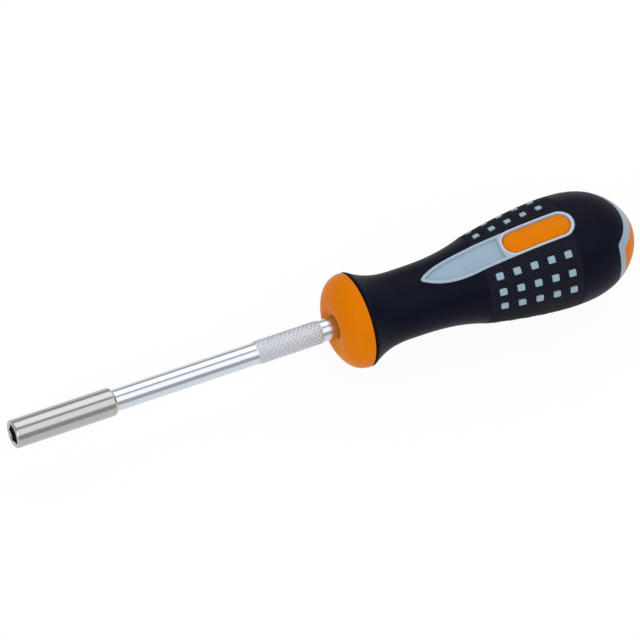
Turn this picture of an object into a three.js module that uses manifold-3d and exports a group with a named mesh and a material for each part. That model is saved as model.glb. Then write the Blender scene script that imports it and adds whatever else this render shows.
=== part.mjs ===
// Bit holder screwdriver: a steel blade with a hexagon bit socket, in a moulded three-colour handle.
// Millimetres. The axis runs along +X from the socket's mouth to the butt, the label faces +Z, and the
// origin is the middle of the magnet's face, where a bit's end comes to rest.

import * as THREE from 'three';
import { mergeVertices } from 'three/addons/utils/BufferGeometryUtils.js';
import loadManifold from 'manifold-3d';

const wasm = await loadManifold();
wasm.setup();

// Clearances
const FIT = 0.1;                  // radial clearance between pieces pushed into each other
const SEAM = 0.3;                 // gap left between the faces of neighbours

// Bit socket and its sleeve
const HEX_ACROSS_FLATS = 6.4;     // for 1/4 inch (6.35 mm) hexagon bits
const SOCKET_DEPTH = 12;          // mouth to magnet face
const SOCKET_CHAMFER = 0.6;
const SLEEVE_DIAMETER = 10;
const SLEEVE_LENGTH = 37.4;
const SLEEVE_FRONT_CHAMFER = 0.4;
const SLEEVE_BACK_CHAMFER = 0.8;
const MAGNET_DIAMETER = 5.4;
const MAGNET_LENGTH = 4;
const MAGNET_PROUD = 0.4;         // how far the magnet stands in front of the blade's end
const RING_FROM_MOUTH = 4.5;
const RING_WIRE = 0.8;
const RING_INSIDE_DIAMETER = 6.7; // bites into the bit's corners, clear of its flats
const RING_OPENING_DEG = 60;

// Blade
const SHAFT_DIAMETER = 7.7;
const SHAFT_CHAMFER = 0.6;
const KNURL_FROM_MOUTH = 90.4;
const KNURL_DIAMETER = 8.3;
const KNURL_STARTS = 15;          // ridges that run round each way
const KNURL_LENGTH = 24.5;
const KNURL_PITCH = 1.63;         // between ridges, along the blade
const TANG_LENGTH = 62;           // blade inside the handle, behind the seam
const WING_SPAN = 13;
const WING_LENGTH = 9;
const WING_THICKNESS = 2.4;
const WINGS_BEHIND_SEAM = [14, 44];

// Handle outline, behind the mouth and then piece after piece
const SEAM_FROM_MOUTH = 128.3;    // between the bolster and the skin
const BOLSTER_LENGTH = 9.9;
const BOLSTER_DIAMETER = 33.6;
const BOLSTER_FULLNESS = 2.3;     // power of its outline, 2 is an ellipse
const BOLSTER_MOUTH_DIAMETER = 18;
const BOLSTER_MOUTH_DEPTH = 2.5;
const LIP_LENGTH = 1;
const LIP_ROUND = 0.5;
const NECK_LENGTH = 17;
const NECK_POWER = 2.6;
const WAIST_DIAMETER = 24.4;
const WAIST_LENGTH = 1.8;
const RISE_LENGTH = 25;
const RISE_POWER = 2.55;
const BAND_START_DIAMETER = 31;   // the crease where the textured palm band starts
const PALM_LENGTH = 31.4;
const PALM_POWER = 1.55;
const PALM_DIAMETER = 39;
const BUTT_LENGTH = 28.5;
const BUTT_POWER = 2.6;
const BUTT_ROUNDING = 0.57;

// Handle layers
const SKIN_THICKNESS = 3;
const CORE_NOSE_DIAMETER = 18;
const CORE_NOSE_LENGTH = 5;
const CORE_BEHIND_PALM = 14.5;    // end of the core, behind the widest place
const STEM_DIAMETER = 8;
const STEM_LENGTH = 9;

// Label panel, its recess and its oval window
const PANEL_BEHIND_SEAM = 23.9;   // the leaf's point
const PANEL_LENGTH = 56.2;
const PANEL_WIDTH = 10.4;
const LEAF_LENGTH = 19;
const LEAF_FULLNESS = 7;          // how far behind its point the leaf's sides aim
const PANEL_PROUD = 0.2;
const RECESS_RIM = 1.3;
const RECESS_TO_WINDOW = 1.1;
const RECESS_END_HOLLOW = 0.4;    // the recess ends hollow, round the window's frame
const RECESS_DEPTH = 0.4;
const WINDOW_LENGTH = 24.5;
const WINDOW_WIDTH = 8.3;
const WINDOW_END_RIM = 1.6;
const WINDOW_POCKET_DEPTH = 1.9;
const INLAY_SUNK = 0.5;

// Studs: beside each label, the rows of one field fan out and those of the other keep their spacing
const STUD_COLUMNS = 5;
const FANNED_ROWS = 3;
const SPACED_ROWS = 2;
const FANNED_BEHIND_SEAM = 48.85; // the first column
const FANNED_PITCH = 6.2;
const FANNED_ROW_DEG = 33.1;      // the first row, from the label's middle
const FANNED_ROW_PITCH_DEG = 20.2;
const SPACED_BEHIND_SEAM = 48;
const SPACED_PITCH = 5.95;
const SPACED_ROW_ARC = 9.35;      // the first row, along the skin
const SPACED_ROW_PITCH = 6.6;
const STUD_LENGTH = 2.6;
const STUD_WIDTH = 2.8;
const STUD_PROUD = 0.15;
const INSERT_THICKNESS = 1.2;
const INSERT_MARGIN = 0.9;

// Butt, as seen from behind: circles flattened above and below
const RING_OUTER_DIAMETER = 32.8;
const RING_HEIGHT = 24.5;
const RING_SIDE_WIDTH = 1.6;      // pale ring left round the cap's round sides
const RING_FLAT_WIDTH = 3.2;      // and along its flat ones

// Facets
const SHAFT_SIDES = 2 * KNURL_STARTS;
const HANDLE_SIDES = 32;
const OUTLINE_STEPS = 4;
const RING_STEPS = 16;
const WIRE_STEPS = 3;
const BOLSTER_STEPS = 7;
const NECK_STEPS = 4;
const RISE_STEPS = 4;
const PALM_STEPS = 3;
const DOME_SHARES = [0, 0.35, 0.6, 0.77, 0.89, 0.965];
const FAR = 2 * PALM_DIAMETER;    // well outside the handle
const WELD = 1e-5;                // corners nearer than this are one corner

// Stations along the axis, from the mouth
const NECK_START = SEAM_FROM_MOUTH + LIP_LENGTH;
const WAIST_START = NECK_START + NECK_LENGTH;
const RISE_START = WAIST_START + WAIST_LENGTH;
const BAND_START = RISE_START + RISE_LENGTH;
const PALM_WIDEST = BAND_START + PALM_LENGTH;
const BUTT_END = PALM_WIDEST + BUTT_LENGTH;
const CORE_END = PALM_WIDEST + CORE_BEHIND_PALM;
const GRIP_START = SEAM_FROM_MOUTH + SEAM;
const BUTT_START = CORE_END + SEAM;
const SHAFT_FRONT = SOCKET_DEPTH + MAGNET_PROUD;
const TANG_END = SEAM_FROM_MOUTH + TANG_LENGTH;
const SHAFT_RADIUS = SHAFT_DIAMETER / 2;
const CAP_DIAMETER = RING_OUTER_DIAMETER - 2 * RING_SIDE_WIDTH;
const CAP_HEIGHT = RING_HEIGHT - 2 * RING_FLAT_WIDTH;

const STEEL = new THREE.MeshStandardMaterial({ color: 0xd9dde2, roughness: 0.25, metalness: 1 });
const STAINLESS = new THREE.MeshStandardMaterial({ color: 0xb9b7b2, roughness: 0.35, metalness: 1 });
const MAGNET_METAL = new THREE.MeshStandardMaterial({ color: 0x8d8f92, roughness: 0.3, metalness: 1 });
const ORANGE = new THREE.MeshStandardMaterial({ color: 0xd87a00, roughness: 0.35, metalness: 0 });
const PALE = new THREE.MeshStandardMaterial({ color: 0xa3bdcc, roughness: 0.45, metalness: 0 });
const BLACK = new THREE.MeshStandardMaterial({ color: 0x1d212c, roughness: 0.55, metalness: 0 });

const radians = THREE.MathUtils.degToRad;

// Solids: three.js geometry goes into manifold for joining and cutting, and comes back as geometry

function signedVolume(positions, indices) {
  const corners = [new THREE.Vector3(), new THREE.Vector3(), new THREE.Vector3()];
  let total = 0;
  for (let i = 0; i < indices.length; i += 3) {
    corners.forEach((corner, k) => corner.fromArray(positions, 3 * indices[i + k]));
    total += corners[0].dot(corners[1].cross(corners[2])) / 6;
  }
  return total;
}

function solid(geometry) {
  geometry.deleteAttribute('normal');
  geometry.deleteAttribute('uv');
  const merged = mergeVertices(geometry, WELD);
  const positions = merged.attributes.position.array;
  const indices = [];
  for (let i = 0; i < merged.index.count; i += 3) {
    const [a, b, c] = [0, 1, 2].map((k) => merged.index.getX(i + k));
    if (a !== b && b !== c && c !== a) indices.push(a, b, c);
  }
  if (signedVolume(positions, indices) < 0) indices.reverse();
  return new wasm.Manifold(new wasm.Mesh({
    numProp: 3,
    vertProperties: new Float32Array(positions),
    triVerts: new Uint32Array(indices),
  }));
}

function mesh(name, body, material) {
  const { vertProperties, triVerts, numProp } = body.getMesh();
  const geometry = new THREE.BufferGeometry();
  const positions = new Float32Array(vertProperties.length / numProp * 3);
  for (let v = 0; v < positions.length / 3; v += 1) {
    positions.set(vertProperties.subarray(v * numProp, v * numProp + 3), 3 * v);
  }
  geometry.setAttribute('position', new THREE.BufferAttribute(positions, 3));
  geometry.setIndex([...triVerts]);
  geometry.computeVertexNormals();
  const result = new THREE.Mesh(geometry, material);
  result.name = name;
  return result;
}

// A turned body from [radius, distance from the mouth] points; the first point closes the outline again
function turned(outline, sides) {
  const points = outline.map(([radius, along]) => new THREE.Vector2(radius, along));
  const closed = points[0].x > 0 || points.at(-1).x > 0;
  if (closed) points.push(points[0].clone());
  return solid(new THREE.LatheGeometry(points, sides));
}

// A place at a distance from the mouth, an angle from the label's middle and a radius
function place(along, angle, radius) {
  return [radius * Math.sin(angle), along, radius * Math.cos(angle)];
}

// A block that stands out radially from the axis over an outline of [distance from the mouth, angle] points
function radialBlock(outline) {
  const count = outline.length;
  const flat = outline.map(([along, angle]) => new THREE.Vector2(along, angle));
  const caps = THREE.ShapeUtils.triangulateShape(flat, []);
  const positions = [SHAFT_RADIUS, FAR].flatMap((radius) =>
    outline.flatMap(([along, angle]) => place(along, angle, radius)));
  const anticlockwise = !THREE.ShapeUtils.isClockWise(flat);
  const indices = [];
  for (const [a, b, c] of caps) {
    indices.push(a, c, b);
    indices.push(a + count, b + count, c + count);
  }
  for (let i = 0; i < count; i += 1) {
    const [a, b] = anticlockwise ? [i, (i + 1) % count] : [(i + 1) % count, i];
    indices.push(a, b, b + count);
    indices.push(a, b + count, a + count);
  }
  const geometry = new THREE.BufferGeometry();
  geometry.setAttribute('position', new THREE.Float32BufferAttribute(positions, 3));
  geometry.setIndex(indices);
  return solid(geometry);
}

// Handle outline

// How far a place lies along a stretch of the handle, from 0 to 1
function share(along, start, length) {
  return THREE.MathUtils.clamp((along - start) / length, 0, 1);
}

function gripRadius(along) {
  const lip = BOLSTER_DIAMETER / 2;
  const waist = WAIST_DIAMETER / 2;
  const band = BAND_START_DIAMETER / 2;
  const palm = PALM_DIAMETER / 2;
  const neck = (1 - share(along, NECK_START, NECK_LENGTH)) ** NECK_POWER;
  const rise = share(along, RISE_START, RISE_LENGTH) ** RISE_POWER;
  const swell = (1 - share(along, BAND_START, PALM_LENGTH)) ** PALM_POWER;
  const dome = (1 - share(along, PALM_WIDEST, BUTT_LENGTH) ** BUTT_POWER) ** BUTT_ROUNDING;
  if (along <= RISE_START) return waist + (lip - waist) * neck;
  if (along <= BAND_START) return waist + (band - waist) * rise;
  if (along <= PALM_WIDEST) return palm - (palm - band) * swell;
  return palm * dome;
}

const coreRadius = (along) => gripRadius(along) - SKIN_THICKNESS;

function evenSteps(start, length, count) {
  return Array.from({ length: count }, (_, i) => start + length * i / count);
}

// Rings where the outline of every layer of the handle has its points
const STATIONS = [
  ...evenSteps(NECK_START, NECK_LENGTH, NECK_STEPS),
  WAIST_START,
  ...evenSteps(RISE_START, RISE_LENGTH, RISE_STEPS),
  ...evenSteps(BAND_START, PALM_LENGTH, PALM_STEPS),
  ...DOME_SHARES.map((reach) => PALM_WIDEST + reach * BUTT_LENGTH),
];

function outlineBetween(start, end, radiusAt) {
  const stations = [start, ...STATIONS.filter((s) => s > start + SEAM && s < end - SEAM), end];
  return stations.map((along) => [radiusAt(along), along]);
}

// The layer of the handle between two radius functions
function layer(start, end, innerAt, outerAt) {
  const outer = outlineBetween(start, end, outerAt);
  const inner = outlineBetween(start, end, innerAt).reverse();
  return turned([...outer, ...inner], HANDLE_SIDES);
}

// Blade: a turned blank, a knurl pressed into it, and two wings pressed out of the tang

function knurl(geometry, firstRow, rows) {
  const position = geometry.attributes.position;
  const ridge = KNURL_DIAMETER / 2 / SHAFT_RADIUS;
  const rowLength = KNURL_PITCH / 2;
  for (let v = 0; v < position.count; v += 1) {
    const row = Math.round((position.getY(v) - firstRow) / rowLength);
    const onRow = Math.abs(position.getY(v) - firstRow - row * rowLength) < FIT;
    if (!onRow || row < 1 || row > rows - 1) continue;
    const side = Math.round(Math.atan2(position.getX(v), position.getZ(v)) / (2 * Math.PI) * SHAFT_SIDES);
    if ((side + row) % 2) continue;
    position.setX(v, position.getX(v) * ridge);
    position.setZ(v, position.getZ(v) * ridge);
  }
  return geometry;
}

function bladeShaft() {
  const pocketRadius = MAGNET_DIAMETER / 2 + FIT;
  const pocketEnd = SOCKET_DEPTH + MAGNET_LENGTH + FIT;
  const rows = Math.round(KNURL_LENGTH / (KNURL_PITCH / 2));
  const knurlRows = Array.from({ length: rows + 1 }, (_, i) =>
    [SHAFT_RADIUS, KNURL_FROM_MOUTH + i * KNURL_PITCH / 2]);
  const outline = [
    [0, pocketEnd],
    [pocketRadius, pocketEnd],
    [pocketRadius, SHAFT_FRONT],
    [SHAFT_RADIUS - SHAFT_CHAMFER, SHAFT_FRONT],
    [SHAFT_RADIUS, SHAFT_FRONT + SHAFT_CHAMFER],
    ...knurlRows,
    [SHAFT_RADIUS, TANG_END - SHAFT_CHAMFER],
    [SHAFT_RADIUS - SHAFT_CHAMFER, TANG_END],
    [0, TANG_END],
  ].map(([radius, along]) => new THREE.Vector2(radius, along));
  const blank = knurl(new THREE.LatheGeometry(outline, SHAFT_SIDES), KNURL_FROM_MOUTH, rows);
  return wings(0).reduce((blade, wing) => blade.add(wing), solid(blank));
}

function wings(clearance) {
  return WINGS_BEHIND_SEAM.map((behind) => {
    const block = new THREE.BoxGeometry(
      WING_SPAN + 2 * clearance, WING_LENGTH + 2 * clearance, WING_THICKNESS + 2 * clearance);
    block.translate(0, SEAM_FROM_MOUTH + behind, 0);
    return solid(block);
  });
}

// Socket: sleeve with hexagon and ring groove, magnet, open spring ring

function hexagonPrism(acrossFlats, start, end) {
  const cornerRadius = acrossFlats / Math.sqrt(3);
  const prism = new THREE.CylinderGeometry(cornerRadius, cornerRadius, end - start, 6);
  prism.translate(0, (start + end) / 2, 0);
  return solid(prism);
}

const RING_OUTER_RADIUS = RING_INSIDE_DIAMETER / 2 + RING_WIRE;

function socketSleeve() {
  const radius = SLEEVE_DIAMETER / 2;
  const boreRadius = SHAFT_RADIUS + FIT;
  const shoulder = SHAFT_FRONT - FIT;
  const grooveHalf = RING_WIRE / 2 + FIT;
  const mouthRadius = HEX_ACROSS_FLATS / Math.sqrt(3) + SOCKET_CHAMFER / 2;
  const tube = turned([
    [0, 0],
    [radius - SLEEVE_FRONT_CHAMFER, 0],
    [radius, SLEEVE_FRONT_CHAMFER],
    [radius, SLEEVE_LENGTH - SLEEVE_BACK_CHAMFER],
    [radius - SLEEVE_BACK_CHAMFER, SLEEVE_LENGTH],
    [0, SLEEVE_LENGTH],
  ], SHAFT_SIDES);
  const bore = turned([
    [0, shoulder],
    [boreRadius, shoulder],
    [boreRadius, SLEEVE_LENGTH + SEAM],
    [0, SLEEVE_LENGTH + SEAM],
  ], SHAFT_SIDES);
  const groove = turned([
    [0, RING_FROM_MOUTH - grooveHalf],
    [RING_OUTER_RADIUS + FIT, RING_FROM_MOUTH - grooveHalf],
    [RING_OUTER_RADIUS + FIT, RING_FROM_MOUTH + grooveHalf],
    [0, RING_FROM_MOUTH + grooveHalf],
  ], SHAFT_SIDES);
  const mouth = turned([
    [0, -SEAM],
    [mouthRadius + SEAM, -SEAM],
    [mouthRadius - SOCKET_CHAMFER, SOCKET_CHAMFER],
    [0, SOCKET_CHAMFER],
  ], SHAFT_SIDES);
  const hexagon = hexagonPrism(HEX_ACROSS_FLATS, -SEAM, shoulder + SEAM);
  return [bore, groove, mouth, hexagon].reduce((body, cut) => body.subtract(cut), tube);
}

function socketMagnet() {
  const radius = MAGNET_DIAMETER / 2;
  const end = SOCKET_DEPTH + MAGNET_LENGTH;
  return turned([[0, SOCKET_DEPTH], [radius, SOCKET_DEPTH], [radius, end], [0, end]], SHAFT_SIDES);
}

class RingArc extends THREE.Curve {
  getPoint(reach, target = new THREE.Vector3()) {
    const angle = radians(RING_OPENING_DEG / 2 + reach * (360 - RING_OPENING_DEG));
    return target.set(...place(RING_FROM_MOUTH, angle, RING_OUTER_RADIUS - RING_WIRE / 2));
  }
}

function bitRetainingRing() {
  const wire = new THREE.Shape();
  wire.absarc(0, 0, RING_WIRE / 2, 0, 2 * Math.PI, false);
  const options = { extrudePath: new RingArc(), steps: RING_STEPS, curveSegments: WIRE_STEPS };
  return solid(new THREE.ExtrudeGeometry(wire, options));
}

// Handle pieces

function frontBolster() {
  const radius = BOLSTER_DIAMETER / 2;
  const mouthRadius = BOLSTER_MOUTH_DIAMETER / 2;
  const boreRadius = SHAFT_RADIUS + FIT;
  const socketRadius = CORE_NOSE_DIAMETER / 2 + FIT;
  const socketEnd = SEAM_FROM_MOUTH - CORE_NOSE_LENGTH - SEAM;
  const power = 2 / BOLSTER_FULLNESS;
  const mouthAngle = Math.asin((mouthRadius / radius) ** (1 / power));
  const dome = Array.from({ length: BOLSTER_STEPS + 1 }, (_, i) => {
    const angle = mouthAngle + (Math.PI / 2 - mouthAngle) * i / BOLSTER_STEPS;
    const reach = BOLSTER_LENGTH * Math.max(0, Math.cos(angle)) ** power;
    return [radius * Math.sin(angle) ** power, SEAM_FROM_MOUTH - reach];
  });
  const mouthStart = dome[0][1];
  return turned([
    ...dome,
    [socketRadius, SEAM_FROM_MOUTH],
    [socketRadius, socketEnd],
    [boreRadius, socketEnd],
    [boreRadius, mouthStart + BOLSTER_MOUTH_DEPTH],
  ], HANDLE_SIDES);
}

function handleCore() {
  const noseRadius = CORE_NOSE_DIAMETER / 2;
  const boreRadius = SHAFT_RADIUS + FIT;
  const boreEnd = TANG_END + SEAM;
  const stemRadius = STEM_DIAMETER / 2 + FIT;
  const stemEnd = CORE_END - STEM_LENGTH - SEAM;
  const body = turned([
    [boreRadius, SEAM_FROM_MOUTH - CORE_NOSE_LENGTH],
    [noseRadius, SEAM_FROM_MOUTH - CORE_NOSE_LENGTH],
    [noseRadius, GRIP_START],
    ...outlineBetween(GRIP_START, CORE_END, coreRadius),
    [stemRadius, CORE_END],
    [stemRadius, stemEnd],
    [0, stemEnd],
    [0, boreEnd],
    [boreRadius, boreEnd],
  ], HANDLE_SIDES);
  return wings(FIT).reduce((core, slot) => core.subtract(slot), body);
}

// Flat outlines, along the handle from the mouth and across it, that are then wrapped round it

const PANEL_START = SEAM_FROM_MOUTH + PANEL_BEHIND_SEAM;
const PANEL_END = PANEL_START + PANEL_LENGTH;
const WINDOW_END = PANEL_END - WINDOW_END_RIM;

// Starts a leaf at its point and goes on round whatever draws its far end
function leafShape(point, half, drawEnd) {
  const shoulder = PANEL_START + LEAF_LENGTH;
  const shape = new THREE.Shape();
  shape.moveTo(point, 0);
  shape.quadraticCurveTo(point + LEAF_FULLNESS, -half, shoulder, -half);
  drawEnd(shape);
  shape.lineTo(shoulder, half);
  shape.quadraticCurveTo(point + LEAF_FULLNESS, half, point, 0);
  return shape;
}

// The leaf's point is sharp, so it moves out twice as far as the sides do
function panelShape(grow) {
  const half = PANEL_WIDTH / 2 + grow;
  const middle = PANEL_END - PANEL_WIDTH / 2;
  return leafShape(PANEL_START - 2 * grow, half, (shape) =>
    shape.absarc(middle, 0, half, -Math.PI / 2, Math.PI / 2, false));
}

function recessShape() {
  const half = PANEL_WIDTH / 2 - RECESS_RIM;
  const end = WINDOW_END - WINDOW_LENGTH - RECESS_TO_WINDOW;
  return leafShape(PANEL_START + RECESS_RIM, half, (shape) => {
    shape.lineTo(end + RECESS_END_HOLLOW, -half);
    shape.quadraticCurveTo(end - RECESS_END_HOLLOW, 0, end + RECESS_END_HOLLOW, half);
  });
}

function windowShape(grow) {
  const half = WINDOW_WIDTH / 2;
  const shape = new THREE.Shape();
  shape.absarc(WINDOW_END - half, 0, half + grow, -Math.PI / 2, Math.PI / 2, false);
  shape.absarc(WINDOW_END - WINDOW_LENGTH + half, 0, half + grow, Math.PI / 2, 1.5 * Math.PI, false);
  return shape;
}

// The wrapped outline as a block through every layer of the handle
function wrappedBlock(shape, middleDeg) {
  const points = shape.getPoints(OUTLINE_STEPS).filter((p, i, all) => p.distanceTo(all.at(i - 1)) > FIT);
  return radialBlock(points.map(({ x, y }) => [x, radians(middleDeg) + y / gripRadius(x)]));
}

function labelPanel(middleDeg) {
  const from = PANEL_START - SEAM;
  const to = PANEL_END + SEAM;
  const body = layer(from, to, (s) => coreRadius(s) + FIT, (s) => gripRadius(s) + PANEL_PROUD);
  const recess = layer(from, to, (s) => gripRadius(s) + PANEL_PROUD - RECESS_DEPTH, () => FAR);
  const pocket = layer(from, to, (s) => gripRadius(s) - WINDOW_POCKET_DEPTH, () => FAR);
  return wrappedBlock(panelShape(0), middleDeg).intersect(body)
    .subtract(wrappedBlock(recessShape(), middleDeg).intersect(recess))
    .subtract(wrappedBlock(windowShape(FIT), middleDeg).intersect(pocket));
}

function windowInlay(middleDeg) {
  const floor = (s) => gripRadius(s) - WINDOW_POCKET_DEPTH + FIT;
  const face = (s) => gripRadius(s) + PANEL_PROUD - INLAY_SUNK;
  return wrappedBlock(windowShape(0), middleDeg).intersect(layer(PANEL_START, PANEL_END, floor, face));
}

// Studs stand on a thin insert that lies on the core, one insert on each side of each label

function columnsFrom(behindSeam, pitch) {
  return Array.from({ length: STUD_COLUMNS }, (_, i) => SEAM_FROM_MOUTH + behindSeam + i * pitch);
}

// side is +1 or -1, either side of the label, and angle gives a row's angle from the label's middle
const FANNED_STUDS = {
  side: 1,
  rows: FANNED_ROWS,
  columns: columnsFrom(FANNED_BEHIND_SEAM, FANNED_PITCH),
  angle: (row) => radians(FANNED_ROW_DEG + row * FANNED_ROW_PITCH_DEG),
};
const SPACED_STUDS = {
  side: -1,
  rows: SPACED_ROWS,
  columns: columnsFrom(SPACED_BEHIND_SEAM, SPACED_PITCH),
  angle: (row, along) => (SPACED_ROW_ARC + row * SPACED_ROW_PITCH) / gripRadius(along),
};

// A stud's corners as [distance from the mouth, angle] points
function studOutline(along, angle, grow) {
  const half = STUD_LENGTH / 2 + grow;
  const across = (STUD_WIDTH / 2 + grow) / gripRadius(along);
  return [
    [along - half, angle - across],
    [along + half, angle - across],
    [along + half, angle + across],
    [along - half, angle + across],
  ];
}

function insertOutline(field, middleDeg, grow) {
  const reach = STUD_LENGTH / 2 + INSERT_MARGIN + grow;
  const corner = (along, row, outwards) => {
    const across = outwards * (STUD_WIDTH / 2 + INSERT_MARGIN + grow) / gripRadius(along);
    return radians(middleDeg) + field.side * (field.angle(row, along) + across);
  };
  const [first, last] = [field.columns[0], field.columns.at(-1)];
  const outline = [
    [first - reach, corner(first, 0, -1)],
    [last + reach, corner(last, 0, -1)],
    [last + reach, corner(last, field.rows - 1, 1)],
    [first - reach, corner(first, field.rows - 1, 1)],
  ];
  return field.side > 0 ? outline : outline.reverse();
}

// grow opens the same shape for the hole that takes it
function studInsert(middleDeg, field, grow) {
  const outline = insertOutline(field, middleDeg, grow);
  const stations = outline.map(([along]) => along);
  const [from, to] = [Math.min(...stations) - SEAM, Math.max(...stations) + SEAM];
  const base = (s) => coreRadius(s) + FIT - grow;
  const back = layer(from, to, base, (s) => coreRadius(s) + INSERT_THICKNESS + grow);
  const reach = layer(from, to, base, (s) => gripRadius(s) + STUD_PROUD + grow);
  const rows = Array.from({ length: field.rows }, (_, row) => row);
  const studs = field.columns.flatMap((along) => rows.map((row) => {
    const angle = radians(middleDeg) + field.side * field.angle(row, along);
    return radialBlock(studOutline(along, angle, grow)).intersect(reach);
  }));
  return studs.reduce((insert, stud) => insert.add(stud), radialBlock(outline).intersect(back));
}

// Butt: the skin, the pale ring and the cap share one dome and are cut along flattened circles

function flattenedCircle(diameter, height, grow) {
  const radius = diameter / 2 + grow;
  const angle = Math.asin((height / 2 + grow) / radius);
  const shape = new THREE.Shape();
  shape.absarc(0, 0, radius, -angle, angle, false);
  shape.absarc(0, 0, radius, Math.PI - angle, Math.PI + angle, false);
  const options = { depth: FAR, bevelEnabled: false, curveSegments: OUTLINE_STEPS };
  const prism = new THREE.ExtrudeGeometry(shape, options);
  prism.rotateX(-Math.PI / 2);
  prism.translate(0, CORE_END, 0);
  return solid(prism);
}

function buttDome() {
  return turned([[0, BUTT_START], ...outlineBetween(BUTT_START, BUTT_END, gripRadius)], HANDLE_SIDES);
}

function buttRing() {
  return buttDome()
    .intersect(flattenedCircle(RING_OUTER_DIAMETER, RING_HEIGHT, 0))
    .subtract(flattenedCircle(CAP_DIAMETER, CAP_HEIGHT, FIT));
}

function endCap() {
  const stem = turned([
    [0, CORE_END - STEM_LENGTH],
    [STEM_DIAMETER / 2, CORE_END - STEM_LENGTH],
    [STEM_DIAMETER / 2, BUTT_START + SEAM],
    [0, BUTT_START + SEAM],
  ], HANDLE_SIDES);
  return buttDome().intersect(flattenedCircle(CAP_DIAMETER, CAP_HEIGHT, 0)).add(stem);
}

const LABELS_DEG = [0, 180];
const STUD_FIELDS = [FANNED_STUDS, SPACED_STUDS];

function softGrip() {
  const skin = turned([
    [BOLSTER_DIAMETER / 2 - LIP_ROUND, GRIP_START],
    ...outlineBetween(GRIP_START + LIP_ROUND, BUTT_END, gripRadius),
    [0, BUTT_START],
    [coreRadius(CORE_END) + FIT, BUTT_START],
    ...outlineBetween(GRIP_START, CORE_END, (s) => coreRadius(s) + FIT).reverse(),
  ], HANDLE_SIDES);
  const openings = LABELS_DEG.flatMap((middleDeg) => [
    wrappedBlock(panelShape(FIT), middleDeg),
    ...STUD_FIELDS.map((field) => studInsert(middleDeg, field, FIT)),
  ]);
  return [flattenedCircle(RING_OUTER_DIAMETER, RING_HEIGHT, FIT), ...openings]
    .reduce((body, opening) => body.subtract(opening), skin);
}

// Assembly: turned upright about +Y, then laid along +X with the label up

const screwdriver = new THREE.Group();
screwdriver.rotation.z = -Math.PI / 2;
screwdriver.position.x = -SOCKET_DEPTH;
screwdriver.add(
  mesh('blade_shaft', bladeShaft(), STEEL),
  mesh('socket_sleeve', socketSleeve(), STAINLESS),
  mesh('socket_magnet', socketMagnet(), MAGNET_METAL),
  mesh('bit_retaining_ring', bitRetainingRing(), STEEL),
  mesh('front_bolster', frontBolster(), ORANGE),
  mesh('handle_core', handleCore(), PALE),
  mesh('soft_grip', softGrip(), BLACK),
  mesh('butt_ring', buttRing(), PALE),
  mesh('end_cap', endCap(), ORANGE),
);
['upper', 'lower'].forEach((half, i) => {
  screwdriver.add(
    mesh(`label_panel_${half}`, labelPanel(LABELS_DEG[i]), PALE),
    mesh(`window_inlay_${half}`, windowInlay(LABELS_DEG[i]), ORANGE),
  );
  ['a', 'b'].forEach((letter, k) => {
    const insert = studInsert(LABELS_DEG[i], STUD_FIELDS[k], 0);
    screwdriver.add(mesh(`stud_insert_${half}_${letter}`, insert, PALE));
  });
});

const assembly = new THREE.Group();
assembly.add(screwdriver);

export default assembly;
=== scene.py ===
# %% [markdown]
# # A bit holder screwdriver
# The tool is a chromed blade with a hexagon bit socket at its tip, held in a moulded handle of three
# colours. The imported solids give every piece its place. Each piece that shows is made again here as a fine
# surface that stands for its solid, and gets a finish made of shader nodes.

import bmesh
import bpy
import numpy as np
from mathutils import Matrix, Vector


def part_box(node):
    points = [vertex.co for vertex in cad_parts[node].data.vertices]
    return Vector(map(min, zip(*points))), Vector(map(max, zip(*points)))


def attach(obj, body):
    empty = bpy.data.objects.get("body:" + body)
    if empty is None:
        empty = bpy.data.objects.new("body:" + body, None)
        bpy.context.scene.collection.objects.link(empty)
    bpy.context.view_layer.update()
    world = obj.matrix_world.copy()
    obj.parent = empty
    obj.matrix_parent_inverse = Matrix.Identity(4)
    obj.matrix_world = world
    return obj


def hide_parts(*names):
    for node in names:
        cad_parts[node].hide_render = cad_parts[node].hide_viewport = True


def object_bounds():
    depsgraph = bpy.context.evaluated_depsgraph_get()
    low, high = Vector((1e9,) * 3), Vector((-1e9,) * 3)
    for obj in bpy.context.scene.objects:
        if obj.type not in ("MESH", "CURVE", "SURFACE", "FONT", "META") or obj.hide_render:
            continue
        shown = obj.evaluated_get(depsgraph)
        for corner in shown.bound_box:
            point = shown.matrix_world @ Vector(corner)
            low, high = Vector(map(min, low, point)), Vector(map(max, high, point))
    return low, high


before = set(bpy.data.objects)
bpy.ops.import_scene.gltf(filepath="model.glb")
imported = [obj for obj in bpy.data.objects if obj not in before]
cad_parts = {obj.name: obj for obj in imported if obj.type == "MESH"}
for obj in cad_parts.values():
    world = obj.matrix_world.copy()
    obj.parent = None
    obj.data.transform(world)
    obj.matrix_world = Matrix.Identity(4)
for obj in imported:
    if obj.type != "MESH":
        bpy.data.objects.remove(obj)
cad_low, cad_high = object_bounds()
MM = 0.001
print("solids:", len(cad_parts), "box in mm:", [round(side / MM, 1) for side in cad_high - cad_low])

# %% [markdown]
# ## The camera
# The photograph was taken with a long lens from above the handle's near side, so lines hardly converge. Its
# directions were worked out from the picture: the blade points a little towards the camera at the socket's
# end, and the camera is rolled so that the tool lies aslant. A camera could be aimed by hand, but a matrix
# of three directions gives the same view each time.

# %% Aim the camera
CAMERA_RIGHT = Vector((0.9019, -0.4168, 0.1134))
CAMERA_UP = Vector((0.3018, 0.7959, 0.5249))
CAMERA_BACK = Vector((-0.3090, -0.4392, 0.8436))
LOOK_AT = Vector((0.10430, 0.00348, 0.00154))
CAMERA_DISTANCE = 4.0
VIEW_WIDTH = 0.2177
SENSOR_WIDTH = 36.0

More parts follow.
